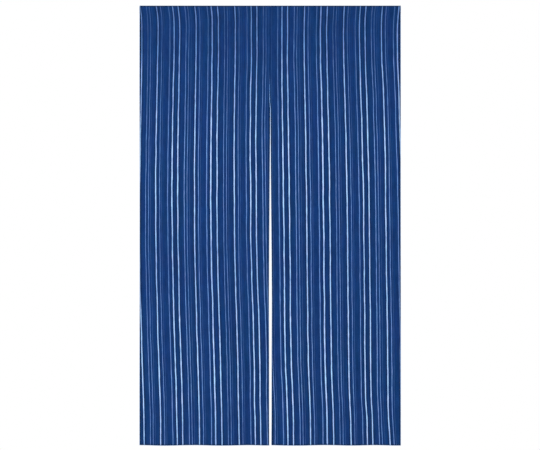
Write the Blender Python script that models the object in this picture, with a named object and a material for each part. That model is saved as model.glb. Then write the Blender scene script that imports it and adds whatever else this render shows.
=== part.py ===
"""A noren: a doorway curtain of two striped cotton panels under one rod pocket.

The panels are sewn edge to edge for their top sixth and part below it, at the slit.
Metres. +Z is up, the front faces -Y, and -X is the left of someone who looks at the front.
The origin is the middle of the pocket's crest, the line by which the curtain is held up.
"""

import math
from typing import NamedTuple

import bmesh
import bpy
import numpy as np

# The whole curtain
WIDTH = 0.890
DROP = 1.500
CLEARANCE = 0.0003

# The cloth. A hem is the same cloth folded to the back, so it is about two layers thick.
SHEET = 0.0012
HEM = 0.0024
SIDE_HEM_WIDTH = 0.011
FOOT_HEM_WIDTH = 0.026
HEM_STEP = 0.001

# The rod pocket. It hangs open as a teardrop, with room for a thin rod under its crown.
CROWN_RADIUS = 0.008
CROWN_STEPS = 16
STITCH_DEPTH = 0.038
POCKET_DROP = 0.042
SEAM_THICKNESS = 2 * (SHEET + CLEARANCE)

# The closed centre seam lies a little right of the middle, and ends where the slit starts
SEAM_X = 0.0014
SLIT_START = 0.267

# The grid of each panel
PANEL_COLUMNS = 24
PANEL_ROWS = 26


class SlitWidth(NamedTuple):
    """How wide the slit gapes at one depth below the crest."""

    depth: float
    gape: float


SLIT = (
    SlitWidth(depth=0.000, gape=CLEARANCE),
    SlitWidth(depth=SLIT_START, gape=CLEARANCE),
    SlitWidth(depth=0.350, gape=0.0012),
    SlitWidth(depth=0.550, gape=0.0048),
    SlitWidth(depth=0.800, gape=0.0092),
    SlitWidth(depth=1.000, gape=0.0116),
    SlitWidth(depth=1.200, gape=0.0098),
    SlitWidth(depth=1.400, gape=0.0100),
    SlitWidth(depth=DROP, gape=0.0086),
)


class Fold(NamedTuple):
    """One soft ridge of a panel. Its middle runs from x_top to x_foot, and it grows from its start on down."""

    x_top: float
    x_foot: float
    half_width: float
    forward: float
    start: float


LEFT_FOLDS = (
    Fold(x_top=-0.425, x_foot=-0.432, half_width=0.034, forward=-0.0045, start=0.10),
    Fold(x_top=-0.372, x_foot=-0.362, half_width=0.048, forward=0.0072, start=0.06),
    Fold(x_top=-0.272, x_foot=-0.258, half_width=0.044, forward=-0.0052, start=0.12),
    Fold(x_top=-0.178, x_foot=-0.168, half_width=0.050, forward=0.0064, start=0.08),
    Fold(x_top=-0.082, x_foot=-0.074, half_width=0.036, forward=-0.0048, start=0.20),
    Fold(x_top=-0.010, x_foot=-0.006, half_width=0.032, forward=0.0040, start=0.30),
)

RIGHT_FOLDS = (
    Fold(x_top=0.012, x_foot=0.004, half_width=0.030, forward=-0.0034, start=0.30),
    Fold(x_top=0.096, x_foot=0.086, half_width=0.052, forward=0.0066, start=0.10),
    Fold(x_top=0.196, x_foot=0.184, half_width=0.046, forward=-0.0058, start=0.07),
    Fold(x_top=0.286, x_foot=0.276, half_width=0.040, forward=0.0050, start=0.16),
    Fold(x_top=0.352, x_foot=0.358, half_width=0.038, forward=-0.0050, start=0.12),
    Fold(x_top=0.430, x_foot=0.436, half_width=0.036, forward=0.0054, start=0.14),
)

# The ground and its pale stripes, seen as one colour from far away
INDIGO = (0.026, 0.075, 0.225, 1.0)


def eased(share):
    """A share from 0 to 1, eased in and out by the cubic that starts and ends level."""
    share = np.clip(share, 0.0, 1.0)
    return share * share * (3.0 - 2.0 * share)


def slit_gape(depth):
    """The slit's width at these depths, straight between the rows of its table."""
    return np.interp(depth, [row.depth for row in SLIT], [row.gape for row in SLIT])


def drape(x, depth, folds):
    """How far back the cloth hangs: each fold is a bell-shaped ridge that grows with depth."""
    back = np.zeros_like(x)
    for fold in folds:
        middle = fold.x_top + (fold.x_foot - fold.x_top) * depth / DROP
        growth = eased((depth - fold.start) / (DROP - fold.start)) ** 0.6
        back -= fold.forward * growth * np.exp(-(((x - middle) / fold.half_width) ** 2))
    return back


def stations(length, hem_at_start, hem_at_end, count):
    """Distances along a panel: a pair of lines at the inner edge of each hem, and even ones between."""
    start = [0.0] + ([hem_at_start - HEM_STEP, hem_at_start] if hem_at_start else [])
    end = ([length - hem_at_end, length - hem_at_end + HEM_STEP] if hem_at_end else []) + [length]
    return np.array(start + list(np.linspace(start[-1], end[0], count + 1)[1:-1]) + end)


def cotton(name):
    """The dull indigo cotton of one piece."""
    material = bpy.data.materials.new(name)
    material.use_nodes = True
    shader = material.node_tree.nodes["Principled BSDF"]
    shader.inputs["Base Color"].default_value = INDIGO
    shader.inputs["Roughness"].default_value = 0.9
    shader.inputs["Metallic"].default_value = 0.0
    return material


def add_object(name, shape):
    """Turns a bmesh into a named, smoothly shaded object with a material of its own."""
    mesh = bpy.data.meshes.new(name)
    shape.to_mesh(mesh)
    shape.free()
    mesh.shade_smooth()
    mesh.set_sharp_from_angle(angle=math.radians(40.0))
    mesh.materials.append(cotton(name + "_cotton"))
    obj = bpy.data.objects.new(name, mesh)
    bpy.context.scene.collection.objects.link(obj)
    return obj


def add_panel(name, side, folds):
    """One hanging panel with its hems. Side is -1 for the left panel and 1 for the right one."""
    across = stations(WIDTH / 2 - side * SEAM_X, SIDE_HEM_WIDTH, SIDE_HEM_WIDTH, PANEL_COLUMNS)
    down = stations(DROP - POCKET_DROP - CLEARANCE, 0.0, FOOT_HEM_WIDTH, PANEL_ROWS)
    columns, rows = len(across), len(down)

    shape = bmesh.new()
    bmesh.ops.create_grid(shape, x_segments=columns - 1, y_segments=rows - 1, size=0.5)
    shape.verts.ensure_lookup_table()
    column = np.array([round((v.co.x + 0.5) * (columns - 1)) for v in shape.verts])
    row = np.array([round((0.5 - v.co.y) * (rows - 1)) for v in shape.verts])

    depth = POCKET_DROP + CLEARANCE + down[row]
    inner = SEAM_X + side * slit_gape(depth) / 2
    outer = side * WIDTH / 2
    left, right = (outer, inner) if side < 0 else (inner, outer)
    x = left + (right - left) * across[column] / across[-1]
    y = drape(x, depth, folds) - SEAM_THICKNESS / 2
    for vertex, place in zip(shape.verts, np.column_stack((x, y, -depth))):
        vertex.co = place

    panel = add_object(name, shape)
    in_side_hem = (column < 2) | (column > columns - 3)
    in_foot_hem = row > rows - 3
    hemmed = panel.vertex_groups.new(name="hemmed")
    hemmed.add([int(i) for i in np.flatnonzero(in_side_hem | in_foot_hem)], 1.0, "REPLACE")
    sheet = panel.modifiers.new("sheet", "SOLIDIFY")
    sheet.thickness = HEM
    sheet.offset = -1.0
    sheet.vertex_group = hemmed.name
    sheet.thickness_vertex_group = SHEET / HEM
    return panel


def teardrop(radius, half_seam):
    """The arc of a teardrop as (y, z). It ends where straight walls to the seam leave it as tangents."""
    centre = np.array((0.0, -(CROWN_RADIUS + SHEET)))
    fall = STITCH_DEPTH + centre[1]
    tangent = math.acos(radius / math.hypot(half_seam, fall)) - math.atan2(fall, half_seam)
    angles = np.linspace(tangent, math.pi - tangent, CROWN_STEPS + 1)
    return centre + radius * np.column_stack((np.cos(angles), np.sin(angles)))


def add_pocket(name):
    """The heading: a teardrop sleeve, open at both ends, with a flat band below its stitches."""
    half_seam = SEAM_THICKNESS / 2
    outer = np.vstack((
        teardrop(CROWN_RADIUS + SHEET, half_seam),
        (-half_seam, -STITCH_DEPTH),
        (-half_seam, -POCKET_DROP),
        (half_seam, -POCKET_DROP),
        (half_seam, -STITCH_DEPTH),
    ))
    inner = np.vstack((
        teardrop(CROWN_RADIUS, CLEARANCE),
        (-CLEARANCE, -STITCH_DEPTH),
        (CLEARANCE, -STITCH_DEPTH),
    ))
    shape = bmesh.new()
    outlines = []
    for outline in (outer, inner):
        corners = [shape.verts.new((-WIDTH / 2, y, z)) for y, z in outline]
        outlines += [shape.edges.new(pair) for pair in zip(corners, corners[1:] + corners[:1])]
    section = bmesh.ops.triangle_fill(shape, edges=outlines, use_beauty=True)["geom"]
    faces = [part for part in section if isinstance(part, bmesh.types.BMFace)]
    far_end = bmesh.ops.extrude_face_region(shape, geom=faces)["geom"]
    moved = [part for part in far_end if isinstance(part, bmesh.types.BMVert)]
    bmesh.ops.translate(shape, verts=moved, vec=(WIDTH, 0.0, 0.0))
    bmesh.ops.recalc_face_normals(shape, faces=shape.faces)
    return add_object(name, shape)


def main():
    for obj in list(bpy.data.objects):
        bpy.data.objects.remove(obj)
    add_pocket("rod_pocket")
    add_panel("left_panel", -1, LEFT_FOLDS)
    add_panel("right_panel", 1, RIGHT_FOLDS)


main()
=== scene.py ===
"""The looks of a long indigo noren: striped cotton, hemmed and sewn, under its own rod pocket.

Metres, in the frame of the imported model: +Z is up, the front faces -Y, and the origin is the
middle of the pocket's crest. The cloth is worked out flat, with its raw edges, then folded into
its hems, and then hung on the folds of its panel. Its stripes follow it through every fold.
"""

import math
from typing import NamedTuple

import bpy
import numpy as np
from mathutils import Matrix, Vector


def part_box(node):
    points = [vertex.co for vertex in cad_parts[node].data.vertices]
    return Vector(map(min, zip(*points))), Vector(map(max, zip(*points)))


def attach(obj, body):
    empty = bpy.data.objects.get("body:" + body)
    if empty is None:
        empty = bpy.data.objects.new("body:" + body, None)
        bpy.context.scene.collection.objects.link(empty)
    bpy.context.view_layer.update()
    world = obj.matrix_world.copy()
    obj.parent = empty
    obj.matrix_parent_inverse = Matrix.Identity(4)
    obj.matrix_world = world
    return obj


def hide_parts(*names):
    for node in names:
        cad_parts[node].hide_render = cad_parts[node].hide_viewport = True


bl_info = {
    "name": "Striped noren",
    "version": (1, 0, 0),
    "blender": (4, 5, 0),
    "location": "3D View > Sidebar > Noren",
    "description": "Hangs, hems, stripes and sews the cloth of a long split doorway curtain",
    "category": "Object",
}

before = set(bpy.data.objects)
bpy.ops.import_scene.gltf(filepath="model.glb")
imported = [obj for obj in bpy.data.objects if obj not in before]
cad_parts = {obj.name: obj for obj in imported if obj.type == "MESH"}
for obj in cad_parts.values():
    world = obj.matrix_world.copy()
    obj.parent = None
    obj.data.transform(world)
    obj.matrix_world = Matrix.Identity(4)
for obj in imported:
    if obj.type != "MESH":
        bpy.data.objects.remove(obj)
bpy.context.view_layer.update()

MM = 0.001

# The finished curtain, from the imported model
POCKET_LOW, POCKET_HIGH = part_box("rod_pocket")
PANEL_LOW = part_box("left_panel")[0]
WIDTH = POCKET_HIGH[0] - POCKET_LOW[0]
DROP = POCKET_HIGH[2] - PANEL_LOW[2]
POCKET_DROP = POCKET_HIGH[2] - POCKET_LOW[2]
CROWN_RADIUS = POCKET_HIGH[1]

# The front of the flat cloth, the stitches under the pocket, the centre seam and its end
FRONT_Y = -1.5 * MM
STITCH_DEPTH = 38.0 * MM
SEAM_X = 1.4 * MM
SLIT_START = 267.0 * MM

# Steps in a hem's round fold, in its raw edge's fold, and in the flat between them
FOLD_STEPS = 6
RAW_FOLD_STEPS = 4
FLAT_STEPS = 3

# The pocket's path: steps over its crown and along the whole of it, and how many its corners take.
# Its rows lie this many times as close as a panel's, and its raw edge stops a little short.
CROWN_STEPS = 61
PATH_STEPS = 400
CORNER_STEPS = 5
POCKET_FINENESS = 4
POCKET_SPARE = 0.3 * MM

# Faces that meet at more than this angle have a sharp edge
SHARP_ANGLE = math.radians(50.0)

# The stack of side hems thins out to one layer over this distance
STACK_EASE = 3.0 * MM

# The slit's edges come to be fully worn and to show their full painted shade over this length from its
# start
SLIT_EASE = 80.0 * MM
LESS_WORN = 0.5 * MM

# A folded edge is worn up to the first distance, and no longer at the second. The painted shade
# beside it is full up to its start, and gone at its reach.
WORN_FULL = 0.8 * MM
WORN_REACH = 1.7 * MM
EDGE_SHADE_START = 2.8 * MM
EDGE_SHADE_REACH = 6.8 * MM

# The bake map: the width of either face's half, the margin at its top and foot, and its end strips
BAKE_HALF = 0.4975
BAKE_MARGIN = 0.005
BAKE_TOP_STRIP = (0.996, 0.9995)
BAKE_FOOT_STRIP = (0.004, 0.0005)

# The hems' stitches lie this far inside, and the heading's this far from its ends and below the seam
STITCH_INSET = 1.5 * MM
HEADING_INSET = 1.0 * MM
HEADING_BELOW = 0.8 * MM

# The whip stitches: how far each reaches into a panel, how far it slants down, where the row starts
# below the pocket and stops above the slit, and how the last ones crowd together
WHIP_REACH = 1.3 * MM
WHIP_SLANT = 1.2 * MM
WHIP_START = 2.0 * MM
WHIP_STOP = 1.0 * MM
CROWD_LENGTH = 5.0 * MM
CROWD_PITCH = 0.7 * MM
CROWD_SLANT = 0.2 * MM

# The two halves' paleness runs into each other this far to each side of the middle
MIDDLE_BLEND = 20.0 * MM

# The studio: its floor, its lamp, and how far the camera stands aside and above the cloth's middle
FLOOR_RADIUS = 4.5
FLOOR_THICKNESS = 0.02
FLOOR_SIDES = 96
LAMP_SIZE = (2.6, 2.0)
LAMP_PLACE = (-1.5, -3.6, 0.4)
CAMERA_ASIDE = -0.5 * MM
CAMERA_ABOVE = 1.7 * MM
SENSOR_WIDTH = 36.0


class SlitWidth(NamedTuple):
    """Where the middle of the seam or slit lies at one depth below the crest, and how wide it gapes."""

    depth: float
    middle: float
    gape: float


SLIT = (
    SlitWidth(0.000, SEAM_X, 0.0),
    SlitWidth(0.120, 0.0006, 0.0),
    SlitWidth(SLIT_START, -0.0020, 0.0),
    SlitWidth(0.325, -0.0016, 0.0002),
    SlitWidth(0.350, 0.0010, 0.0004),
    SlitWidth(0.440, 0.0009, 0.0012),
    SlitWidth(0.550, 0.0005, 0.0029),
    SlitWidth(0.660, 0.0006, 0.0047),
    SlitWidth(0.830, 0.0008, 0.0076),
    SlitWidth(1.000, 0.0009, 0.0096),
    SlitWidth(1.200, 0.0008, 0.0082),
    SlitWidth(1.400, 0.0007, 0.0079),
    SlitWidth(1.500, 0.0006, 0.0070),
)


class SideLine(NamedTuple):
    """How far the two outer edges stray outwards at one depth."""

    depth: float
    left: float
    right: float


SIDES = (
    SideLine(0.000, 0.0000, 0.0001),
    SideLine(0.050, 0.0005, 0.0005),
    SideLine(0.300, 0.0006, 0.0005),
    SideLine(0.550, 0.0001, 0.0002),
    SideLine(0.750, 0.0002, 0.0002),
    SideLine(0.950, 0.0003, 0.0004),
    SideLine(1.150, 0.0006, 0.0004),
    SideLine(1.300, 0.0009, 0.0003),
    SideLine(1.500, 0.0010, 0.0002),
)


class Fold(NamedTuple):
    """One soft ridge of a panel. Its middle runs from x_top to x_foot, and it grows from its start
    on down."""

    x_top: float
    x_foot: float
    half_width: float
    forward: float
    start: float


LEFT_FOLDS = (
    Fold(-0.425, -0.432, 0.034, -0.0045, 0.10),
    Fold(-0.372, -0.362, 0.048, 0.0072, 0.06),
    Fold(-0.272, -0.258, 0.044, -0.0052, 0.12),
    Fold(-0.178, -0.168, 0.050, 0.0064, 0.08),
    Fold(-0.082, -0.074, 0.036, -0.0048, 0.20),
    Fold(-0.010, -0.006, 0.032, 0.0040, 0.30),
)

RIGHT_FOLDS = (
    Fold(0.012, 0.004, 0.030, -0.0034, 0.30),
    Fold(0.096, 0.086, 0.052, 0.0066, 0.10),
    Fold(0.196, 0.184, 0.046, -0.0058, 0.07),
    Fold(0.286, 0.276, 0.040, 0.0050, 0.16),
    Fold(0.352, 0.358, 0.038, -0.0050, 0.12),
    Fold(0.430, 0.436, 0.036, 0.0054, 0.14),
)


class Crease(NamedTuple):
    """One soft crease. Its middle is at x and depth, it leans right by lean for each metre down,
    and it fades out over its length and half width. Forward is how far it stands proud."""

    x: float
    depth: float
    length: float
    lean: float
    half_width: float
    forward: float


CREASES = (
    Crease(-0.395, 0.150, 0.110, 0.16, 0.009, 0.0007),
    Crease(-0.318, 0.310, 0.150, -0.10, 0.012, -0.0008),
    Crease(-0.236, 0.120, 0.070, 0.05, 0.008, 0.0006),
    Crease(-0.205, 0.560, 0.190, 0.07, 0.014, 0.0009),
    Crease(-0.128, 0.880, 0.160, -0.12, 0.011, -0.0009),
    Crease(-0.046, 0.330, 0.090, -0.28, 0.007, 0.0008),
    Crease(-0.300, 1.160, 0.210, 0.09, 0.015, 0.0010),
    Crease(-0.066, 1.290, 0.120, 0.14, 0.010, 0.0007),
    Crease(0.044, 0.340, 0.100, 0.24, 0.008, 0.0008),
    Crease(0.132, 0.180, 0.090, -0.06, 0.009, 0.0006),
    Crease(0.171, 0.690, 0.180, 0.08, 0.013, -0.0009),
    Crease(0.262, 0.460, 0.140, -0.09, 0.010, 0.0008),
    Crease(0.338, 0.130, 0.080, -0.18, 0.008, -0.0006),
    Crease(0.304, 0.970, 0.200, 0.11, 0.015, 0.0010),
    Crease(0.104, 1.240, 0.150, -0.07, 0.012, 0.0008),
    Crease(0.402, 1.310, 0.110, 0.13, 0.009, -0.0007),
)


class Stripe(NamedTuple):
    """One pale stripe of the warp: where it lies in the repeat, in millimetres, how many threads it
    has, and their tone, which is 0 as the ground, a half at mid blue and 1 at the palest."""

    place: float
    threads: int
    tone: float


# The repeat is a narrow group and then a wide one
REPEAT = 269.5
STRIPES = (
    Stripe(0.0, 7, 0.96),
    Stripe(13.6, 3, 0.50),
    Stripe(20.7, 1, 0.24),
    Stripe(41.4, 5, 0.40),
    Stripe(56.0, 7, 1.03),
    Stripe(75.3, 7, 0.97),
    Stripe(97.8, 4, 0.55),
    Stripe(107.6, 3, 0.51),
    Stripe(116.0, 1, 0.24),
    Stripe(132.8, 7, 0.98),
    Stripe(146.4, 4, 0.51),
    Stripe(153.8, 1, 0.24),
    Stripe(174.8, 5, 0.50),
    Stripe(189.0, 8, 1.04),
    Stripe(210.4, 7, 0.97),
    Stripe(232.8, 3, 0.52),
    Stripe(243.1, 3, 0.48),
    Stripe(250.6, 1, 0.24),
)
BOLD_THREADS = 7


class Lean(NamedTuple):
    """How far right of plumb the warp runs at one depth, in millimetres, at nine places across."""

    depth: float
    left_edge: float
    left_outer: float
    left_middle: float
    left_inner: float
    right_inner: float
    right_middle: float
    right_third: float
    right_outer: float
    right_edge: float


LEFT_PLACES = {"left_edge": -0.445, "left_outer": -0.391, "left_middle": -0.230, "left_inner": -0.057}
RIGHT_PLACES = {
    "right_inner": 0.055,
    "right_middle": 0.195,
    "right_third": 0.328,
    "right_outer": 0.394,
    "right_edge": 0.440,
}
LEANS = (
    Lean(0.00, 8.0, 3.0, 1.0, 0.5, -6.5, -6.5, -9.5, -10.5, -10.5),
    Lean(0.03, 12.0, 8.0, 5.0, 2.0, -7.0, -7.5, -12.0, -13.5, -13.5),
    Lean(0.08, 14.0, 10.0, 6.0, 1.0, -7.0, -9.5, -13.5, -15.5, -16.5),
    Lean(0.18, 13.0, 8.0, 5.0, 1.5, -8.0, -8.5, -12.0, -12.5, -15.5),
    Lean(0.30, 12.0, 5.5, 3.5, -1.0, -6.0, -5.0, -7.5, -7.0, -11.0),
    Lean(0.45, 8.0, 2.5, 1.0, -3.0, -4.0, -1.5, -3.5, -2.0, -6.5),
    Lean(0.62, 5.0, 0.5, 0.0, -1.0, -2.0, 1.0, 1.0, 0.0, -0.5),
    Lean(0.80, 3.5, 2.0, 0.5, 0.0, 0.0, 3.0, 3.5, 1.5, 2.0),
    Lean(0.95, 6.0, 4.5, 4.0, 3.5, 1.5, 4.0, 4.5, 4.0, 4.0),
    Lean(1.12, 11.5, 9.0, 8.5, 9.5, 3.0, 6.0, 6.5, 6.5, 7.5),
    Lean(1.24, 15.0, 13.0, 12.5, 12.0, 5.5, 8.0, 7.0, 7.0, 8.0),
    Lean(1.32, 17.5, 16.0, 14.5, 12.0, 9.5, 11.0, 8.0, 8.0, 9.0),
    Lean(1.40, 20.5, 18.0, 16.5, 13.5, 12.5, 13.5, 13.0, 10.0, 10.0),
    Lean(1.50, 22.0, 19.0, 18.0, 16.0, 13.0, 15.5, 15.5, 15.5, 15.5),
)
LEAN_EASE = 0.03
LEAN_STEPS = 301


class Half(NamedTuple):
    """One half of the curtain: its side, its folds, the places of its warp's leans, and where its
    repeat starts."""

    name: str
    side: int
    folds: tuple
    lean_places: dict
    repeat_start: float


LEFT = Half("left", -1, LEFT_FOLDS, LEFT_PLACES, -0.3912)
RIGHT = Half("right", 1, RIGHT_FOLDS, RIGHT_PLACES, -0.0088)
HALVES = (LEFT, RIGHT)


class Paleness(NamedTuple):
    """How much of their tone the pale threads of each half show at one depth."""

    depth: float
    left: float
    right: float


PALENESS = (
    Paleness(0.00, 0.35, 0.39),
    Paleness(0.09, 0.36, 0.43),
    Paleness(0.15, 0.46, 0.56),
    Paleness(0.22, 0.58, 0.69),
    Paleness(0.36, 0.79, 0.89),
    Paleness(0.43, 0.97, 1.05),
    Paleness(0.70, 0.98, 1.06),
    Paleness(0.86, 0.79, 0.89),
    Paleness(1.06, 0.91, 1.00),
    Paleness(1.22, 1.06, 1.11),
    Paleness(1.31, 1.07, 1.13),
    Paleness(1.39, 0.90, 0.99),
    Paleness(1.50, 0.87, 0.96),
)


class Variation(NamedTuple):
    """One unevenness of the cotton: how long its patches are across and down the cloth, how finely
    they are broken up, which patch of noise they come from, and what a low and a high noise give."""

    across: float
    down: float
    detail: float
    patch: float
    low: float
    high: float
    least: float
    most: float


VARIATIONS = {
    "wander": Variation(0.045, 0.120, 4.0, 0.0, 0.25, 0.75, -1.0, 1.0),
    "breadth": Variation(0.014, 0.026, 2.0, 3.7, 0.30, 0.70, 0.86, 1.16),
    "slubs": Variation(0.009, 0.030, 3.0, 4.1, 0.30, 0.70, 0.74, 1.26),
    "patches": Variation(0.120, 0.200, 2.0, 9.7, 0.30, 0.70, 0.90, 1.10),
    "warp_streaks": Variation(0.0022, 0.500, 4.0, 2.3, 0.25, 0.75, 0.78, 1.22),
    "weft_slubs": Variation(0.300, 0.0030, 3.0, 6.9, 0.25, 0.75, 0.93, 1.07),
    "flecks": Variation(0.0016, 0.014, 1.0, 7.7, 0.70, 0.80, 1.0, 1.5),
    "mottle": Variation(0.011, 0.050, 4.0, 12.1, 0.25, 0.75, 0.82, 1.20),
    "ground_cast": Variation(0.028, 0.160, 2.0, 1.9, 0.30, 0.70, 0.0, 1.0),
    "thread_cast": Variation(0.018, 0.060, 1.0, 5.9, 0.32, 0.68, 0.0, 1.0),
    "worn_ground": Variation(0.008, 0.040, 4.0, 14.6, 0.25, 0.75, 0.0, 0.036),
    "fray": Variation(0.005, 0.008, 3.0, 10.4, 0.32, 0.68, 0.40, 1.25),
    "roughness": Variation(0.004, 0.006, 2.0, 5.5, 0.20, 0.80, 0.86, 0.96),
    "yarn": Variation(0.0012, 0.0012, 2.0, 3.3, 0.0, 1.0, 0.0, 2.0),
    "crinkle": Variation(0.018, 0.026, 3.0, 8.4, 0.0, 1.0, 0.0, 1.0),
}

# What each dye's red, green and blue are multiplied by at the two ends of its cast
GROUND_CASTS = ((1.30, 0.93, 1.02), (0.70, 1.07, 0.98))
MIDDLE_CASTS = ((1.12, 0.97, 0.98), (0.92, 1.02, 1.01))
PALE_CASTS = ((1.08, 0.97, 1.00), (0.92, 1.03, 1.00))

# A stripe's rim is soft over this much to each side, and the ground is darker beside a bold one
THREAD_BLUR = 0.35 * MM
HALO_START = 4.0 * MM
HALO_REACH = 9.0 * MM

# Painted shade and highlight of the weave: how much a thread's colour is darkened where it dips and
# lightened where it rises, and the relief of weave and crinkle
WEAVE_PAINTED_SHADE_AND_HIGHLIGHT = (0.84, 1.16)
WEAVE_RELIEF = 0.09 * MM
CRINKLE_RELIEF = 0.8 * MM


class ClothSettings(bpy.types.PropertyGroup):
    """The cloth and its hems."""

    thickness: bpy.props.FloatProperty(
        name="Thickness", description="Thickness of one layer of the cotton",
        default=0.45 * MM, min=0.2 * MM, max=1.0 * MM, precision=5, unit="LENGTH")
    layer_gap: bpy.props.FloatProperty(
        name="Layer gap", description="Air between two layers that are folded on each other",
        default=0.08 * MM, min=0.02 * MM, max=0.5 * MM, precision=5, unit="LENGTH")
    side_hem: bpy.props.FloatProperty(
        name="Side hem", description="Finished width of the hems at a panel's sides",
        default=11.0 * MM, min=9.0 * MM, max=20.0 * MM, precision=4, unit="LENGTH")
    foot_hem: bpy.props.FloatProperty(
        name="Foot hem", description="Finished depth of the hem at a panel's foot",
        default=26.0 * MM, min=12.0 * MM, max=60.0 * MM, precision=4, unit="LENGTH")
    turned_in: bpy.props.FloatProperty(
        name="Turned in", description="How much of the raw edge is turned in inside a hem",
        default=8.0 * MM, min=3.0 * MM, max=8.5 * MM, precision=4, unit="LENGTH")
    column_step: bpy.props.FloatProperty(
        name="Column step", description="Distance between the mesh's lines across the cloth",
        default=7.5 * MM, min=3.0 * MM, max=30.0 * MM, precision=4, unit="LENGTH")
    row_step: bpy.props.FloatProperty(
        name="Row step", description="Distance between the mesh's lines down the cloth",
        default=12.0 * MM, min=3.0 * MM, max=40.0 * MM, precision=4, unit="LENGTH")


class DyeSettings(bpy.types.PropertyGroup):
    """The colours and the threads of the cotton, and the painted shade beside its folded edges."""

    ground: bpy.props.FloatVectorProperty(
        name="Ground", description="Indigo of the cloth between its stripes",
        default=(0.0018, 0.0250, 0.1155), size=3, min=0.0, max=1.0, subtype="COLOR")
    middle: bpy.props.FloatVectorProperty(
        name="Middle", description="Mid blue of the fainter stripes' threads",
        default=(0.128, 0.249, 0.56), size=3, min=0.0, max=1.0, subtype="COLOR")
    pale: bpy.props.FloatVectorProperty(
        name="Pale", description="Pale blue of the bold stripes' threads",
        default=(0.385, 0.580, 0.90), size=3, min=0.0, max=1.0, subtype="COLOR")
    thread_pitch: bpy.props.FloatProperty(
        name="Thread pitch", description="Distance between two neighbouring threads of the weave",
        default=0.50 * MM, min=0.2 * MM, max=2.0 * MM, precision=5, unit="LENGTH")
    wander: bpy.props.FloatProperty(
        name="Wander", description="How far a stripe strays sideways along its run",
        default=1.1 * MM, min=0.0, max=4.0 * MM, precision=5, unit="LENGTH")
    halo: bpy.props.FloatProperty(
        name="Halo", description="How much darker the ground is beside a bold stripe",
        default=0.34, min=0.0, max=0.6, subtype="FACTOR")
    # Painted shade: this tint darkens the cloth's colour beside its folded edges
    edge_painted_shade: bpy.props.FloatVectorProperty(
        name="Edge tint", description="What the cloth's colour is multiplied by beside its folded edges",
        default=(0.54, 0.46, 0.40), size=3, min=0.0, max=1.0, subtype="COLOR")
    edge_wear: bpy.props.FloatVectorProperty(
        name="Edge wear", description="Blue of the cloth where it is worn, right at its folded edges",
        default=(0.095, 0.255, 0.57), size=3, min=0.0, max=1.0, subtype="COLOR")


class StitchSettings(bpy.types.PropertyGroup):
    """The sewing."""

    pitch: bpy.props.FloatProperty(
        name="Pitch", description="Distance from one stitch of a hem to the next",
        default=3.0 * MM, min=1.5 * MM, max=8.0 * MM, precision=4, unit="LENGTH")
    length: bpy.props.FloatProperty(
        name="Length", description="Length of one stitch as it shows",
        default=2.4 * MM, min=1.0 * MM, max=7.0 * MM, precision=4, unit="LENGTH")
    thread: bpy.props.FloatProperty(
        name="Thread", description="Thickness of the sewing thread",
        default=0.34 * MM, min=0.1 * MM, max=1.0 * MM, precision=5, unit="LENGTH")
    whip_pitch: bpy.props.FloatProperty(
        name="Whip pitch", description="Distance between the slanting stitches of the centre seam",
        default=4.0 * MM, min=2.0 * MM, max=10.0 * MM, precision=4, unit="LENGTH")
    colour: bpy.props.FloatVectorProperty(
        name="Colour", description="Indigo of the sewing thread",
        default=(0.008, 0.030, 0.110), size=3, min=0.0, max=1.0, subtype="COLOR")


class StageSettings(bpy.types.PropertyGroup):
    """The camera, the floor and the light."""

    lens: bpy.props.FloatProperty(
        name="Lens", description="Focal length of the camera, in millimetres",
        default=100.0, min=20.0, max=300.0)
    distance: bpy.props.FloatProperty(
        name="Distance", description="How far the camera stands in front of the curtain",
        default=5.116, min=1.0, max=20.0, unit="LENGTH")
    floor_depth: bpy.props.FloatProperty(
        name="Floor depth", description="How far the floor lies below the curtain's crest",
        default=2.2, min=1.6, max=4.0, unit="LENGTH")
    surround: bpy.props.FloatProperty(
        name="Surround", description="Strength of the even light from all sides",
        default=0.90, min=0.0, max=2.0)
    lamp: bpy.props.FloatProperty(
        name="Lamp", description="Power of the soft lamp in front, in watts",
        default=74.0, min=0.0, max=1000.0)


SETTINGS = {
    "noren_cloth": ClothSettings,
    "noren_dye": DyeSettings,
    "noren_stitch": StitchSettings,
    "noren_stage": StageSettings,
}


def eased(share):
    """A share from 0 to 1, eased in and out by the cubic that starts and ends level."""
    share = np.clip(share, 0.0, 1.0)
    return share * share * (3.0 - 2.0 * share)


def column_at(table, column, depth):
    """One column of a table at these depths, straight between its rows."""
    return np.interp(depth, [row.depth for row in table], [getattr(row, column) for row in table])


def running_mean(values, reach):
    """The mean of each value and its neighbours within reach. Past either end, the run of values
    goes on as it came, turned half round about that end."""
    padded = np.pad(values, reach, mode="reflect", reflect_type="odd")
    return np.convolve(padded, np.ones(2 * reach + 1) / (2 * reach + 1), mode="valid")


def inner_edge(half, depth):
    """Where a half's inner edge hangs: half the gape to its side of the slit's middle."""
    return column_at(SLIT, "middle", depth) + half.side * column_at(SLIT, "gape", depth) / 2


def outer_edge(half, depth):
    """Where a half's outer edge hangs: half the curtain's width to its side, and out as it strays."""
    return half.side * (WIDTH / 2 + column_at(SIDES, half.name, depth))


def drape(x, depth, folds):
    """How far back the cloth hangs: each fold is a bell-shaped ridge that grows with depth."""
    back = np.zeros_like(x)
    for fold in folds:
        middle = fold.x_top + (fold.x_foot - fold.x_top) * depth / DROP
        growth = eased((depth - fold.start) / (DROP - fold.start)) ** 0.6
        back -= fold.forward * growth * np.exp(-(((x - middle) / fold.half_width) ** 2))
    return back


def creased(x, depth):
    """How far back the creases push the cloth: each is a bell across and a flatter bell along."""
    back = np.zeros_like(x)
    for crease in CREASES:
        middle = crease.x + crease.lean * (depth - crease.depth)
        across = ((x - middle) / crease.half_width) ** 2
        along = ((depth - crease.depth) / crease.length) ** 4
        back -= crease.forward * np.exp(-across - along)
    return back


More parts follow.
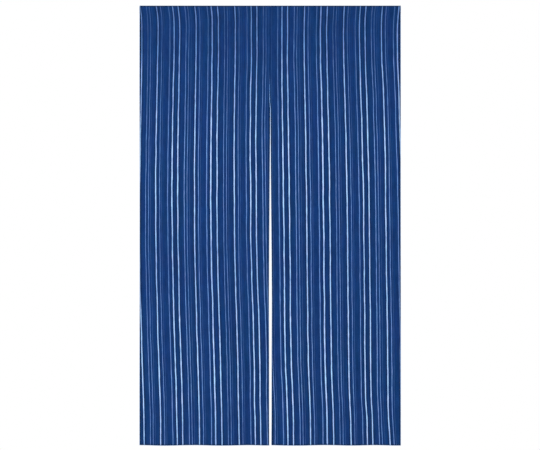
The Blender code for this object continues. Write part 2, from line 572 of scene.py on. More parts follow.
def fold_over(along, out, edge, axis):
    """Folds cloth to its back. Past the edge, it goes round an axis that lies this far behind its
    front, by an angle of the distance past the edge over the axis, up to half a turn, and then it
    runs back. Out is how far a point lies behind the front of the cloth."""
    past = np.maximum(along - edge, 0.0)
    turn = np.minimum(past / axis, math.pi)
    beyond = past - turn * axis
    folded = np.minimum(along, edge) + (axis - out) * np.sin(turn) - beyond
    return folded, axis - (axis - out) * np.cos(turn)


class Hem(NamedTuple):
    """A hem folded twice: where its fold lies, its width, what is turned in, and the stack it folds."""

    edge: float
    width: float
    turned_in: float
    stack: float
    gap: float

    @property
    def axis(self):
        """The main fold goes round three layers of the stack."""
        return 1.5 * self.stack + self.gap

    @property
    def raw_axis(self):
        """The raw edge's fold goes round two layers of the stack."""
        return self.stack + 0.5 * self.gap

    @property
    def bend(self):
        """Where the main fold starts on the flat cloth."""
        return self.edge - self.axis

    @property
    def raw_bend(self):
        """Where the raw edge's fold starts on the flat cloth."""
        return self.bend + (math.pi - 1.0) * self.axis + self.width - self.raw_axis

    @property
    def end(self):
        """The raw edge of the flat cloth."""
        return self.raw_bend + (math.pi - 1.0) * self.raw_axis + self.turned_in

    @property
    def depth(self):
        """How far the back of the finished hem lies behind the front of the cloth."""
        return 3.0 * self.stack + 2.0 * self.gap

    def stations(self):
        """Places on the flat cloth from the main fold's start to the raw edge, close in the folds."""
        stretches = (
            (self.bend, self.bend + math.pi * self.axis, FOLD_STEPS),
            (self.bend + math.pi * self.axis, self.raw_bend, FLAT_STEPS),
            (self.raw_bend, self.raw_bend + math.pi * self.raw_axis, RAW_FOLD_STEPS),
            (self.raw_bend + math.pi * self.raw_axis, self.end, FLAT_STEPS),
        )
        return np.concatenate([np.linspace(*stretch, endpoint=False) for stretch in stretches]
                              + [np.linspace(self.end, self.end, 1)])

    def folded(self, along, out):
        """Where points of the flat cloth come to lie: the raw edge is folded first, then the hem."""
        return fold_over(*fold_over(along, out, self.raw_bend, self.raw_axis), self.bend, self.axis)


def half_width(half):
    """The finished width of a half where its slit is closed."""
    return WIDTH / 2 - half.side * SEAM_X


def side_hem(half, cloth):
    """The hem at either side of a half, as measured from the other side."""
    return Hem(half_width(half), cloth.side_hem, cloth.turned_in, cloth.thickness, cloth.layer_gap)


def side_folded(half, cloth, along, out):
    """Folds both side hems. The second is the first seen in a mirror that stands in the middle."""
    hem = side_hem(half, cloth)
    along, out = hem.folded(along, out)
    mirrored, out = hem.folded(hem.edge - along, out)
    return hem.edge - mirrored, out


def side_stack(half, cloth, along):
    """How thick the cloth is at a place across: three layers in a side hem, and one between them."""
    hem = side_hem(half, cloth)
    inside = np.minimum(along, hem.edge - along) - hem.width
    return hem.depth + (cloth.thickness - hem.depth) * eased(inside / STACK_EASE)


def across_stations(half, cloth):
    """Places across the flat cloth, from raw edge to raw edge: even between the hems, close in them."""
    hem = side_hem(half, cloth)
    hem_places = hem.stations()
    count = round((2.0 * hem.bend - hem.edge) / cloth.column_step)
    between = np.linspace(hem.edge - hem.bend, hem.bend, count + 1)[1:-1]
    return np.concatenate([hem.edge - hem_places[::-1], between, hem_places])


def hung_x(half, along, depth):
    """The place across the doorway: the half's width is spread evenly between its edge and the slit."""
    inner, outer = inner_edge(half, depth), outer_edge(half, depth)
    left, right = (outer, inner) if half.side < 0 else (inner, outer)
    return left + (right - left) * along / half_width(half)


def free_edges(half, along, depth, end):
    """How far a place is from the free edge at its side, which is the inner one only below the slit's
    start, and from the one at its end, and how much of the painted shade beside it shows. A slit's
    edge counts as a little further off near its start, and its painted shade fades in there."""
    outer, inner = along, half_width(half) - along
    if half.side > 0:
        outer, inner = inner, outer
    started = np.clip((depth - SLIT_START) / SLIT_EASE, 0.0, 1.0)
    inside = np.where(depth > SLIT_START, inner + LESS_WORN * (1.0 - started), np.inf)
    shade = np.where(inner < outer, started, 1.0)
    return np.stack([np.minimum(outer, inside), end, np.maximum(shade, end < EDGE_SHADE_REACH)], axis=-1)


def hung(half, along, depth, out):
    """Where a point of the finished half hangs: out is how far it lies behind the cloth's front."""
    x = hung_x(half, along, depth)
    y = FRONT_Y + drape(x, depth, half.folds) + creased(x, depth) + out
    return np.stack([x, y, -depth + 0.0 * x], axis=-1)


def lean(half, x, depth):
    """How far right of plumb the warp runs. Down the cloth its table is eased by a short running
    mean, and across it is straight between the table's places and beyond them."""
    fine = np.linspace(0.0, DROP, LEAN_STEPS)
    reach = round(LEAN_EASE / (fine[1] - fine[0]))
    means = [running_mean(column_at(LEANS, column, fine), reach) for column in half.lean_places]
    shifts = [np.interp(depth, fine, mean) * MM for mean in means]
    places = list(half.lean_places.values())
    shift = shifts[0] + 0.0 * x
    for index, (start, stop) in enumerate(zip(places, places[1:])):
        slope = (shifts[index + 1] - shifts[index]) / (stop - start)
        low = -np.inf if index == 0 else start
        high = np.inf if index == len(places) - 2 else stop
        shift = shift + slope * (np.clip(x, low, high) - np.clip(start, low, high))
    return shift


def repeat_place(half, along, depth):
    """Where a point of the flat cloth lies in the stripes' repeat, in metres from where a narrow
    group starts."""
    level = np.clip(depth, 0.0, DROP)
    x = hung_x(half, along, level)
    return x - lean(half, x, level) - half.repeat_start


class Sheet(NamedTuple):
    """A closed sheet as arrays: its points, its faces, and for each face corner its place on two
    maps, and how far it is from the free edges."""

    points: np.ndarray
    faces: np.ndarray
    cloth_map: np.ndarray
    bake_map: np.ndarray
    from_edge: np.ndarray


def closed_sheet(front, back, cloth_map, from_edge, across, down, bake_rows):
    """Wraps a front and a back grid into one closed sheet. Its ring of columns goes over the front
    from left to right and over the back from right to left, and the first and last rows are
    closed by strips. Across and down are places on the flat cloth, and the bake map has the front
    in its left half and the back in its right half, between its lowest and its highest row."""
    rows, columns = front.shape[:2]
    ring = np.concatenate([front, back[:, ::-1]], axis=1)
    ring_map = np.concatenate([cloth_map, cloth_map[:, ::-1]], axis=1)
    ring_edge = np.concatenate([from_edge, from_edge[:, ::-1]], axis=1)
    count = 2 * columns

    share = (across - across[0]) / (across[-1] - across[0])
    bake_x = np.concatenate([BAKE_HALF * share, 0.5 + BAKE_HALF * (1.0 - share[::-1]), [1.0]])
    share = 1.0 - (down - down[0]) / (down[-1] - down[0])
    share = np.concatenate([share, share[:, ::-1], share[:, :1]], axis=1)
    bake_y = BAKE_MARGIN + (1.0 - 2.0 * BAKE_MARGIN) * share

    r, k = np.meshgrid(np.arange(rows - 1), np.arange(count), indexing="ij")
    r, k = r.ravel(), k.ravel()
    corners = [(r, k), (r + 1, k), (r + 1, k + 1), (r, k + 1)]
    walls = np.stack([row * count + column % count for row, column in corners], axis=1)
    walls_bake = np.stack([np.stack([bake_x[c], bake_y[w, c]], axis=-1) for w, c in corners], axis=1)

    i = np.arange(columns - 1)
    ends = [i, i + 1, count - 2 - i, count - 1 - i]
    places = [bake_x[i], bake_x[i + 1], bake_x[i + 1], bake_x[i]]
    strips, strips_bake = [], []
    closings = ((0, (0, 1, 2, 3), BAKE_TOP_STRIP), (rows - 1, (3, 2, 1, 0), BAKE_FOOT_STRIP))
    for row, order, rim in closings:
        heights = [np.full(len(i), rim[n // 2]) for n in range(4)]
        strips.append(np.stack([row * count + ends[n] for n in order], axis=1))
        strips_bake.append(np.stack([np.stack([places[n], heights[n]], axis=-1) for n in order], axis=1))

    faces = np.concatenate([walls, *strips])
    bake = np.concatenate([walls_bake, *strips_bake])
    low, high = bake_rows
    bake[..., 1] = low + (high - low) * bake[..., 1]
    cloth_corners, edge_corners = ring_map.reshape(-1, 2)[faces], ring_edge.reshape(-1, 3)[faces]
    return Sheet(ring.reshape(-1, 3), faces, cloth_corners, bake, edge_corners)


def joined(sheets):
    """Puts several sheets into one, each with its faces counted on from the points before it."""
    starts = np.cumsum([0] + [len(sheet.points) for sheet in sheets[:-1]])
    return Sheet(
        np.concatenate([sheet.points for sheet in sheets]),
        np.concatenate([sheet.faces + start for sheet, start in zip(sheets, starts)]),
        *[np.concatenate([sheet[index] for sheet in sheets]) for index in (2, 3, 4)])


def add_mesh(name, points, faces, material):
    """Makes a named object from arrays of points and of faces."""
    mesh = bpy.data.meshes.new(name)
    mesh.from_pydata(points, [], faces, shade_flat=False)
    mesh.materials.append(material)
    mesh.set_sharp_from_angle(angle=SHARP_ANGLE)
    obj = bpy.data.objects.new(name, mesh)
    bpy.context.scene.collection.objects.link(obj)
    return obj


def add_cloth(name, sheet, material):
    """Makes a piece of cloth with two maps, one to bake on and one for the stripes, and its edge
    distances."""
    obj = add_mesh(name, sheet.points, sheet.faces, material)
    for map_name, corners in (("OFBake", sheet.bake_map), ("cloth", sheet.cloth_map)):
        obj.data.uv_layers.new(name=map_name).data.foreach_set("uv", corners.astype(np.float32).ravel())
    edges = obj.data.attributes.new("from_edge", "FLOAT_VECTOR", "CORNER")
    edges.data.foreach_set("vector", sheet.from_edge.astype(np.float32).ravel())
    return obj


def panel_sheet(half, cloth):
    """A panel, from its flat cloth: both side hems are folded, then the foot hem round their stack,
    and then it is hung. Its flat cloth starts where the pocket's ends."""
    across = across_stations(half, cloth)
    beside = side_folded(half, cloth, across, np.zeros_like(across))[0]
    foot = Hem(DROP, cloth.foot_hem, cloth.turned_in, side_stack(half, cloth, beside), cloth.layer_gap)
    count = round((DROP - POCKET_DROP) / cloth.row_step)
    upper = POCKET_DROP + (foot.bend - POCKET_DROP) * np.arange(count)[:, None] / count
    down = np.concatenate([upper, foot.stations()])

    faces, from_edge = [], []
    for out in (0.0, cloth.thickness):
        along, behind = side_folded(half, cloth, across, np.full_like(across, out))
        depth, behind = foot.folded(down, behind)
        faces.append(hung(half, along + 0.0 * depth, depth, behind))
        from_edge.append(free_edges(half, along, depth, DROP - depth))
    cloth_map = np.stack([repeat_place(half, across + 0.0 * down, down), down], axis=-1)
    return closed_sheet(*faces, cloth_map, from_edge[0], across, down, (0.0, 1.0))


def distances_along(points):
    """The distance along a path to each of its points."""
    return np.concatenate([[0.0], np.cumsum(np.hypot(*np.diff(points, axis=0).T))])


def pocket_path(back_y):
    """The front of the pocket's cloth as (y, z) rows with the distance along them: up the band, up
    the front wall, over the crown's arc, and down the back wall and its band. Running means round
    its corners."""
    fall = STITCH_DEPTH - CROWN_RADIUS
    tangent = math.acos(CROWN_RADIUS / math.hypot(FRONT_Y, fall)) - math.atan2(fall, -FRONT_Y)
    angles = np.linspace(math.pi - tangent, tangent, CROWN_STEPS)
    arc = CROWN_RADIUS * np.column_stack((np.cos(angles), np.sin(angles) - 1.0))
    front = [(FRONT_Y, -POCKET_DROP), (FRONT_Y, -STITCH_DEPTH)]
    corners = np.vstack([*front, arc, (back_y, -STITCH_DEPTH), (back_y, -POCKET_DROP)])
    run = distances_along(corners)
    even = np.linspace(0.0, run[-1], PATH_STEPS)
    evened = [np.interp(even, run, column) for column in corners.T]
    path = np.column_stack([running_mean(column, CORNER_STEPS) for column in evened])
    return distances_along(path), path


def pocket_sheet(half, cloth, bake_rows):
    """The pocket of one half, from its flat cloth: both side hems are folded to the inside, its raw
    edge is turned in, and it is carried along the pocket's path with its thickness inwards. Its
    back wall stands further back at the side hems, where each of three layers is thicker."""
    across = across_stations(half, cloth)
    beside = side_folded(half, cloth, across, np.zeros_like(across))[0]
    stack = side_stack(half, cloth, beside)
    run, path = pocket_path(FRONT_Y + 3.0 * cloth.thickness + 2.0 * cloth.layer_gap)
    length = run[-1] - POCKET_SPARE
    axis = stack + 0.5 * cloth.layer_gap
    bend = length - axis
    turned = bend + math.pi * axis
    count = round(POCKET_FINENESS * length / cloth.row_step)
    rows = np.concatenate([
        bend * np.arange(count)[:, None] / count,
        np.linspace(bend, turned, RAW_FOLD_STEPS, endpoint=False),
        np.linspace(turned, turned - axis + cloth.turned_in, FLAT_STEPS + 1),
    ])[::-1]

    tangents = np.gradient(path, run, axis=0)
    tangents /= np.linalg.norm(tangents, axis=1)[:, None]
    widened = 3.0 * (stack - cloth.thickness)
    back_start, back_stop = 0.5 * run[-1], run[-1] - (POCKET_DROP - STITCH_DEPTH)
    faces = []
    for out in (0.0, cloth.thickness):
        along, behind = side_folded(half, cloth, across, np.full_like(across, out))
        place, behind = fold_over(rows, behind, bend, axis)
        y, z, ty, tz = [np.interp(place, run, column) for column in (*path.T, *tangents.T)]
        down_the_back = np.clip((place - back_start) / (back_stop - back_start), 0.0, 1.0)
        y = y + tz * behind + widened * down_the_back
        z = z - ty * behind
        faces.append(np.stack([hung_x(half, along, -z), y, z], axis=-1))
    depth = POCKET_DROP - rows
    cloth_map = np.stack([repeat_place(half, across + 0.0 * rows, depth), depth], axis=-1)
    from_edge = free_edges(half, along, 0.0 * rows, -faces[0][..., 2])
    return closed_sheet(*faces, cloth_map, from_edge, across, rows, bake_rows)


def stitches(starts, ends, outwards, thread):
    """Small spindles from starts to ends. Each is two square rings between two points that dive
    into the cloth, and its rings stand proud by a quarter of the thread."""
    along = ends - starts
    sideways = np.cross(along, outwards)
    sideways *= 0.5 * thread / np.linalg.norm(sideways, axis=1)[:, None]
    up = 0.5 * thread * outwards
    rows = [starts - up]
    for share in (0.25, 0.75):
        middle = starts + share * along + 0.5 * up
        rows += [middle + sideways, middle + up, middle - sideways, middle - up]
    rows.append(ends - up)
    points = np.stack(rows, axis=1).reshape(-1, 3)

    sides = np.arange(4)
    after = (sides + 1) % 4
    first = np.column_stack([np.zeros(4, int), 1 + after, 1 + sides, 1 + sides])
    body = np.column_stack([1 + sides, 1 + after, 5 + after, 5 + sides])
    last = np.column_stack([np.full(4, 9), 5 + sides, 5 + after, 5 + after])
    starts_at = 10 * np.arange(len(along))[:, None, None]
    triangles = np.concatenate([first[:, :3], last[:, :3], body[:, :3], body[:, (0, 2, 3)]])
    return points, (triangles[None] + starts_at).reshape(-1, 3)


def stitch_line(start, stop, sewing):
    """Where the stitches of one line begin and end along it, as two arrays."""
    begins = np.arange(start, stop - sewing.length, sewing.pitch)
    return begins, begins + sewing.length


def facing_way(facing, places):
    """The outward direction of stitches at these places: -1 is to the front and 1 to the back."""
    return np.broadcast_to([0.0, facing, 0.0], places.shape)


def hem_lines(half, cloth, sewing):
    """The stitches of one panel: a line inside each side hem's inner edge and one inside the foot
    hem's, each on both faces. They give their starts, ends and outward directions."""
    hem = side_hem(half, cloth)
    side_place = hem.width - STITCH_INSET
    foot_place = DROP - cloth.foot_hem + STITCH_INSET
    sides = (
        (-1.0, DROP - STITCH_INSET, 0.0),
        (1.0, DROP - cloth.foot_hem - STITCH_INSET, hem.depth),
    )
    runs = []
    for along in (side_place, hem.edge - side_place):
        for facing, stop, out in sides:
            depths = stitch_line(POCKET_DROP + STITCH_INSET, stop, sewing)
            places = [hung(half, np.full_like(depth, along), depth, out) for depth in depths]
            runs.append((*places, facing_way(facing, places[0])))
    for facing in (-1.0, 1.0):
        places = []
        for along in stitch_line(STITCH_INSET, hem.edge - STITCH_INSET, sewing):
            behind = 3.0 * side_stack(half, cloth, along) + 2.0 * cloth.layer_gap
            out = behind if facing > 0.0 else 0.0
            places.append(hung(half, along, np.full_like(along, foot_place), out))
        runs.append((*places, facing_way(facing, places[0])))
    return runs


def heading_lines(half, cloth, sewing):
    """The stitches under the pocket, through its front and its back, on both faces."""
    runs = []
    for facing in (-1.0, 1.0):
        places = []
        for along in stitch_line(HEADING_INSET, half_width(half) - HEADING_INSET, sewing):
            behind = 3.0 * side_stack(half, cloth, along) + 2.0 * cloth.layer_gap
            y = FRONT_Y + (behind if facing > 0.0 else 0.0 * along)
            z = np.full_like(along, -STITCH_DEPTH - HEADING_BELOW)
            places.append(np.column_stack([hung_x(half, along, 0.0), y, z]))
        runs.append((*places, facing_way(facing, places[0])))
    return runs


def centre_seam(cloth, sewing):
    """The whip stitches that join the halves at the back, from under the pocket to the slit. They
    slant down to the right, and the last few crowd together to hold the slit's start."""
    behind = side_hem(LEFT, cloth).depth
    even = np.arange(POCKET_DROP + WHIP_START, SLIT_START - CROWD_LENGTH, sewing.whip_pitch)
    crowded = np.arange(SLIT_START - CROWD_LENGTH, SLIT_START - WHIP_STOP, CROWD_PITCH)
    depths = np.concatenate([even, crowded])
    slant = np.concatenate([np.full(len(even), WHIP_SLANT), np.full(len(crowded), CROWD_SLANT)])
    starts = hung(LEFT, np.full_like(depths, half_width(LEFT) - WHIP_REACH), depths, behind)
    ends = hung(RIGHT, np.full_like(depths, WHIP_REACH), depths + slant, behind)
    return [(starts, ends, facing_way(1.0, starts))]


class Recipe:
    """A material under construction. Each call adds one node, wired to what it is given."""

    def __init__(self, name):
        self.material = bpy.data.materials.new(name)
        self.material.use_nodes = True
        self.nodes = self.material.node_tree.nodes
        self.links = self.material.node_tree.links
        self.shader = self.nodes["Principled BSDF"]
        self.count = 0

    def node(self, kind, inputs=(), **settings):
        """Adds a node, with values or sockets for its inputs by name or number."""
        node = self.nodes.new(kind)
        node.location = (-260 * (1 + self.count // 8), 300 - 180 * (self.count % 8))
        self.count += 1
        for key, value in settings.items():
            setattr(node, key, value)
        for key, value in dict(inputs).items():
            self.feed(node.inputs[key], value)
        return node

    def feed(self, socket, value):
        """Gives a socket a value, or links it to the output that it is given."""
        if isinstance(value, bpy.types.NodeSocket):
            self.links.new(value, socket)
        else:
            socket.default_value = value

    def math(self, operation, *values, clamp=False):
        """One step of arithmetic."""
        step = self.node("ShaderNodeMath", enumerate(values), operation=operation, use_clamp=clamp)
        return step.outputs[0]

    def product(self, first, *others):
        """All the values, multiplied one after another."""
        for other in others:
            first = self.math("MULTIPLY", first, other)
        return first

    def ramp(self, value, from_low, from_high, to_low, to_high, soft=False):
        """Spreads a value from one range over another, and holds it at the ends."""
        inputs = enumerate((value, from_low, from_high, to_low, to_high))
        kind = "SMOOTHSTEP" if soft else "LINEAR"
        return self.node("ShaderNodeMapRange", inputs, interpolation_type=kind).outputs[0]

    def noise(self, place, variation):
        """One unevenness of the cloth: noise on its flat map, spread to the size of its patches."""
        spread = self.node("ShaderNodeMapping", {
            "Vector": place,
            "Scale": (1.0 / variation.across, 1.0 / variation.down, 1.0),
            "Location": (variation.patch, 1.7 * variation.patch, 0.3 * variation.patch),
        }).outputs[0]
        inputs = {"Vector": spread, "Scale": 1.0, "Detail": variation.detail, "Roughness": 0.55}
        noise = self.node("ShaderNodeTexNoise", inputs, noise_dimensions="3D").outputs["Fac"]
        return self.ramp(noise, variation.low, variation.high, variation.least, variation.most)

    def parts(self, vector):
        """A vector's three parts."""
        return self.node("ShaderNodeSeparateXYZ", {0: vector}).outputs

    def tinted(self, colour, amount):
        """A colour, times an amount."""
        return self.node("ShaderNodeVectorMath", {0: colour, 3: amount}, operation="SCALE").outputs[0]

    def blended(self, share, first, second):
        """The first colour, turned into the second by this share."""
        inputs = {0: share, 6: first, 7: second}
        return self.node("ShaderNodeMix", inputs, data_type="RGBA").outputs[2]

    def cast(self, share, colour, casts):
        """A colour whose cast turns from the first of these tints into the second by this share."""
        return self.blended(share, *[(*np.multiply(colour, tint), 1.0) for tint in casts])


def stripe_cover(recipe, across, breadth, dye):
    """The pale stripes and the shade beside the bold ones. A stripe is a flat-topped bump over its
    own threads, at its distance from its nearest place in the repeat, which a triangle wave gives.
    A breadth over 1 draws the threads closer together."""
    cover = shade = 0.0
    for stripe in STRIPES:
        offset = recipe.math("SUBTRACT", across, stripe.place * MM)
        distance = recipe.math("MULTIPLY", recipe.math("PINGPONG", offset, REPEAT * MM / 2), breadth)
        reach = 0.5 * stripe.threads * dye.thread_pitch
        core = max(reach - THREAD_BLUR, 0.0)
        pale = recipe.ramp(distance, reach + THREAD_BLUR, core, 0.0, stripe.tone)
        cover = recipe.math("ADD", cover, pale)
        if stripe.threads >= BOLD_THREADS:
            beside = recipe.ramp(distance, HALO_START, HALO_REACH, 1.0, 0.0, soft=True)
            shade = recipe.math("ADD", shade, beside)
    return recipe.math("MINIMUM", cover, 1.0), recipe.math("MINIMUM", shade, 1.0)


def paleness_curve(recipe, down, half):
    """How strongly the pale threads of one half show down the cloth, by a curve through its table."""
    node = recipe.node("ShaderNodeFloatCurve", {"Value": recipe.math("DIVIDE", down, DROP)})
    curve = node.mapping.curves[0]
    rows = [(row.depth / DROP, getattr(row, half.name)) for row in PALENESS]
    curve.points[0].location = rows[0]
    curve.points[-1].location = rows[-1]
    for place, share in rows[1:-1]:
        curve.points.new(place, share)
    node.mapping.update()
    return node.outputs[0]


def paleness(recipe, down):
    """The paleness of the half that a point belongs to, blended near the middle of the curtain."""
    place = recipe.node("ShaderNodeTexCoord").outputs["Object"]
    rightness = recipe.ramp(recipe.parts(place)[0], -MIDDLE_BLEND, MIDDLE_BLEND, 0.0, 1.0, soft=True)
    left, right = [paleness_curve(recipe, down, half) for half in HALVES]
    return recipe.node("ShaderNodeMix", {0: rightness, 2: left, 3: right}, data_type="FLOAT").outputs[0]


def striped_cotton(dye):
    """Plain-woven cotton with a striped warp, read from each piece's own map of its flat cloth."""
    recipe = Recipe("indigo_striped_cotton")
    flat = recipe.node("ShaderNodeUVMap", uv_map="cloth").outputs[0]
    across, down = recipe.parts(flat)[:2]
    uneven = {name: recipe.noise(flat, variation) for name, variation in VARIATIONS.items()}

    # The warp wanders, and each stripe pales and darkens along its run
    stray = recipe.math("MULTIPLY", uneven["wander"], dye.wander)
    cover, shade = stripe_cover(recipe, recipe.math("ADD", across, stray), uneven["breadth"], dye)
    tone = recipe.product(cover, paleness(recipe, down), uneven["slubs"], uneven["patches"])

    # The ground: streaks of dye down the warp, a few slubs in the weft, and pale flecks
    darker = recipe.ramp(shade, 0.0, 1.0, 1.0, 1.0 - dye.halo)
    kinds = ("warp_streaks", "weft_slubs", "flecks", "mottle")
    ground = recipe.product(*[uneven[kind] for kind in kinds], darker)
    dyed = recipe.tinted(recipe.cast(uneven["ground_cast"], dye.ground, GROUND_CASTS), ground)

    # The pale threads: the more tone they have, the further from the ground, past mid blue, to pale
    mid_blue = recipe.cast(uneven["thread_cast"], dye.middle, MIDDLE_CASTS)
    pale_blue = recipe.cast(uneven["thread_cast"], dye.pale, PALE_CASTS)
    to_middle = recipe.ramp(tone, 0.0, 0.5, 0.0, 1.0)
    to_middle = recipe.math("ADD", to_middle, uneven["worn_ground"], clamp=True)
    blued = recipe.blended(to_middle, dyed, mid_blue)
    striped = recipe.blended(recipe.ramp(tone, 0.5, 1.15, 0.0, 1.0), blued, pale_blue)

    # A folded edge is worn pale, unevenly, and the colour beside it is darkened by painted shade, where
    # it takes the light less
    from_edge = recipe.node("ShaderNodeAttribute", attribute_name="from_edge").outputs["Vector"]
    side, end, shade_share = recipe.parts(from_edge)
    edge = recipe.math("MINIMUM", side, end)
    factors = {0: striped, 1: dye.edge_painted_shade}
    tinted = recipe.node("ShaderNodeVectorMath", factors, operation="MULTIPLY").outputs[0]
    band = recipe.ramp(edge, EDGE_SHADE_START, EDGE_SHADE_REACH, 1.0, 0.0, soft=True)
    on_ground = recipe.ramp(tone, 0.2, 1.0, 1.0, 0.5)
    with_painted_edge_shade = recipe.blended(recipe.product(band, on_ground, shade_share), striped, tinted)
    near = recipe.ramp(edge, WORN_FULL, WORN_REACH, 1.0, 0.0, soft=True)
    rubbed = recipe.math("MULTIPLY", near, uneven["fray"], clamp=True)
    worn = recipe.blended(rubbed, with_painted_edge_shade, (*dye.edge_wear, 1.0))

    # Plain weave: each thread goes over and under the ones that cross it, with painted shade where it
    # dips and a painted highlight where it rises
    turns = [recipe.math("MULTIPLY", run, math.pi / dye.thread_pitch) for run in (across, down)]
    over, under = [recipe.math("SINE", turn) for turn in turns]
    crossing = recipe.math("MULTIPLY", over, under)
    # The weave's painted shade and highlight: the colour is darker where a thread dips and lighter where
    # it rises
    woven = recipe.tinted(worn, recipe.ramp(crossing, -1.0, 1.0, *WEAVE_PAINTED_SHADE_AND_HIGHLIGHT))
    recipe.feed(recipe.shader.inputs["Base Color"], woven)
    recipe.feed(recipe.shader.inputs["Roughness"], uneven["roughness"])

    # The relief of the weave, and the slight crinkle of washed cotton
    weave = recipe.math("ADD", crossing, uneven["yarn"])
    relief = {"Strength": 0.5, "Distance": WEAVE_RELIEF, "Height": weave}
    fine = recipe.node("ShaderNodeBump", relief).outputs[0]
    relief = {"Strength": 0.6, "Distance": CRINKLE_RELIEF, "Height": uneven["crinkle"], "Normal": fine}
    recipe.feed(recipe.shader.inputs["Normal"], recipe.node("ShaderNodeBump", relief).outputs[0])

    recipe.shader.inputs["Specular IOR Level"].default_value = 0.06
    recipe.shader.inputs["Sheen Weight"].default_value = 0.02
    recipe.shader.inputs["Sheen Roughness"].default_value = 0.6
    return recipe.material


def sewing_thread(sewing):
    """Twisted indigo thread: its plies are fine bands on the slant, a little worn here and there."""
    recipe = Recipe("indigo_sewing_thread")
    place = recipe.node("ShaderNodeTexCoord").outputs["Object"]
    spots = {"Vector": place, "Scale": 900.0, "Detail": 2.0}
    worn = recipe.node("ShaderNodeTexNoise", spots).outputs["Fac"]
    tint = recipe.ramp(worn, 0.3, 0.7, 0.75, 1.35)
    recipe.feed(recipe.shader.inputs["Base Color"], recipe.tinted(tuple(sewing.colour), tint))
    recipe.feed(recipe.shader.inputs["Roughness"], recipe.ramp(worn, 0.3, 0.7, 0.62, 0.80))
    wave = {"Vector": place, "Scale": 700.0, "Distortion": 1.0}
    plies = recipe.node("ShaderNodeTexWave", wave, bands_direction="DIAGONAL").outputs["Fac"]
    bump = recipe.node("ShaderNodeBump", {"Strength": 0.5, "Distance": 0.05 * MM, "Height": plies})
    recipe.feed(recipe.shader.inputs["Normal"], bump.outputs[0])
    recipe.shader.inputs["Specular IOR Level"].default_value = 0.2
    return recipe.material


def pale_floor():
    """A plain pale studio floor with a very faint mottle."""
    recipe = Recipe("pale_floor")
    place = recipe.node("ShaderNodeTexCoord").outputs["Object"]
    mottle = recipe.node("ShaderNodeTexNoise", {"Vector": place, "Scale": 2.0}).outputs["Fac"]
    tint = recipe.ramp(mottle, 0.3, 0.7, 0.97, 1.0)
    recipe.feed(recipe.shader.inputs["Base Color"], recipe.tinted((0.86, 0.86, 0.85), tint))
    recipe.shader.inputs["Roughness"].default_value = 0.8
    return recipe.material


def cotton_material():
    """The one cotton that all three pieces of cloth share, made when it is first needed."""
    found = bpy.data.materials.get("indigo_striped_cotton")
    return found or striped_cotton(bpy.context.scene.noren_dye)


def flat_size(half, cloth):
    """The cut size of a panel's cloth: its finished size and its hems."""
    hem = side_hem(half, cloth)
    foot = Hem(DROP, cloth.foot_hem, cloth.turned_in, cloth.thickness, cloth.layer_gap)
    return 2.0 * hem.end - hem.edge, foot.end - POCKET_DROP


class NOREN_OT_panels(bpy.types.Operator):
    """Hangs the two striped panels with their folded hems"""

    bl_idname = "noren.hang_panels"
    bl_label = "Hang the panels"
    bl_options = {"REGISTER", "UNDO"}

    def execute(self, context):
        cloth = context.scene.noren_cloth
        for half in HALVES:
            panel = add_cloth(half.name + "_panel_cloth", panel_sheet(half, cloth), cotton_material())
            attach(panel, "root")
            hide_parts(half.name + "_panel")
            flat_size(half, cloth)
        return {"FINISHED"}


class NOREN_OT_rod_pocket(bpy.types.Operator):
    """Folds the heading of both halves over into the rod pocket"""

    bl_idname = "noren.fold_rod_pocket"
    bl_label = "Fold the rod pocket"
    bl_options = {"REGISTER", "UNDO"}

    def execute(self, context):
        cloth = context.scene.noren_cloth
        sheet = joined([
            pocket_sheet(LEFT, cloth, (0.0, 0.498)),
            pocket_sheet(RIGHT, cloth, (0.502, 1.0)),
        ])
        pocket = add_cloth("rod_pocket_cloth", sheet, cotton_material())
        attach(pocket, "root")
        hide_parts("rod_pocket")
        width = sum(flat_size(half, cloth)[0] for half in HALVES)
        return {"FINISHED"}


class NOREN_OT_stitches(bpy.types.Operator):
    """Sews the hems, the heading and the centre seam"""

    bl_idname = "noren.sew_stitches"
    bl_label = "Sew the stitches"
    bl_options = {"REGISTER", "UNDO"}

    def execute(self, context):
        cloth, sewing = context.scene.noren_cloth, context.scene.noren_stitch
        runs = centre_seam(cloth, sewing)
        for half in HALVES:
            runs += hem_lines(half, cloth, sewing) + heading_lines(half, cloth, sewing)
        starts, ends, outwards = [np.concatenate(parts) for parts in zip(*runs)]
        points, faces = stitches(starts, ends, outwards, sewing.thread)
        sewn = add_mesh("hem_stitches", points, faces, sewing_thread(sewing))
        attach(sewn, "root")
        return {"FINISHED"}


def round_floor(stage):
    """A thin round floor: a circle at its top and one at its bottom, each closed by one face."""
    angles = np.linspace(0.0, 2.0 * math.pi, FLOOR_SIDES, endpoint=False)
    circle = FLOOR_RADIUS * np.column_stack((np.cos(angles), np.sin(angles)))
    rims = [np.column_stack((circle, np.full(FLOOR_SIDES, level)))
            for level in (-stage.floor_depth - FLOOR_THICKNESS, -stage.floor_depth)]
    low = np.arange(FLOOR_SIDES)
    after = (low + 1) % FLOOR_SIDES
    wall = np.column_stack((low, after, after + FLOOR_SIDES, low + FLOOR_SIDES))
    return np.vstack(rims), [*wall.tolist(), low[::-1].tolist(), (low + FLOOR_SIDES).tolist()]


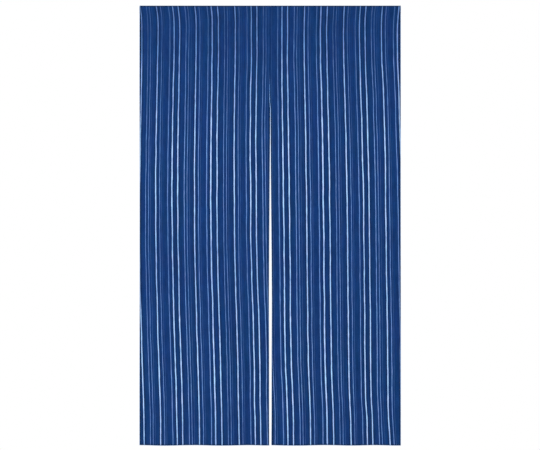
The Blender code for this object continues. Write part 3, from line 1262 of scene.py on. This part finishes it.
class NOREN_OT_stage(bpy.types.Operator):
    """Sets the camera square to the curtain, the floor and the soft light"""

    bl_idname = "noren.set_stage"
    bl_label = "Set the stage"
    bl_options = {"REGISTER", "UNDO"}

    def execute(self, context):
        stage = context.scene.noren_stage
        middle = -DROP / 2

        lens = bpy.data.cameras.new("camera")
        lens.lens = stage.lens
        lens.sensor_width = SENSOR_WIDTH
        camera = bpy.data.objects.new("camera", lens)
        camera.location = (CAMERA_ASIDE, -stage.distance, middle + CAMERA_ABOVE)
        camera.rotation_euler = (math.radians(90.0), 0.0, 0.0)
        context.scene.collection.objects.link(camera)
        context.scene.camera = camera

        add_mesh("floor", *round_floor(stage), pale_floor())

        lamp = bpy.data.lights.new("soft_lamp", "AREA")
        lamp.energy = stage.lamp
        lamp.shape = "RECTANGLE"
        lamp.size, lamp.size_y = LAMP_SIZE
        light = bpy.data.objects.new("soft_lamp", lamp)
        light.location = Vector(LAMP_PLACE) + Vector((0.0, 0.0, middle))
        aim = Vector((0.0, 0.0, middle)) - light.location
        light.rotation_euler = aim.to_track_quat("-Z", "Y").to_euler()
        context.scene.collection.objects.link(light)

        world = bpy.data.worlds.new("white_studio")
        world.use_nodes = True
        nodes, links = world.node_tree.nodes, world.node_tree.links
        path = nodes.new("ShaderNodeLightPath")
        strength = nodes.new("ShaderNodeMapRange")
        strength.inputs["To Min"].default_value = stage.surround
        strength.inputs["To Max"].default_value = 1.0
        links.new(path.outputs["Is Camera Ray"], strength.inputs["Value"])
        links.new(strength.outputs[0], nodes["Background"].inputs["Strength"])
        nodes["Background"].inputs["Color"].default_value = (1.0, 1.0, 1.0, 1.0)
        context.scene.world = world
        context.scene.view_settings.view_transform = "Standard"
        return {"FINISHED"}


# The sidebar's steps, in order, each with the settings that it shows
STEPS = (
    (NOREN_OT_stage, ("noren_stage",)),
    (NOREN_OT_panels, ("noren_cloth", "noren_dye")),
    (NOREN_OT_rod_pocket, ()),
    (NOREN_OT_stitches, ("noren_stitch",)),
)


class NOREN_PT_sidebar(bpy.types.Panel):
    """Lists the steps that make the noren, with what each can change"""

    bl_idname = "NOREN_PT_sidebar"
    bl_label = "Noren"
    bl_space_type = "VIEW_3D"
    bl_region_type = "UI"
    bl_category = "Noren"

    def draw(self, context):
        for step, groups in STEPS:
            box = self.layout.box()
            box.operator(step.bl_idname)
            for group in groups:
                for name in SETTINGS[group].__annotations__:
                    box.prop(getattr(context.scene, group), name)


def register():
    for name, settings in SETTINGS.items():
        bpy.utils.register_class(settings)
        setattr(bpy.types.Scene, name, bpy.props.PointerProperty(type=settings))
    for step, _ in STEPS:
        bpy.utils.register_class(step)
    bpy.utils.register_class(NOREN_PT_sidebar)


def unregister():
    bpy.utils.unregister_class(NOREN_PT_sidebar)
    for step, _ in reversed(STEPS):
        bpy.utils.unregister_class(step)
    for name, settings in SETTINGS.items():
        delattr(bpy.types.Scene, name)
        bpy.utils.unregister_class(settings)


def main():
    register()
    bpy.ops.noren.set_stage()
    bpy.ops.noren.hang_panels()
    bpy.ops.noren.fold_rod_pocket()
    bpy.ops.noren.sew_stitches()


if __name__ == "__main__":
    main()
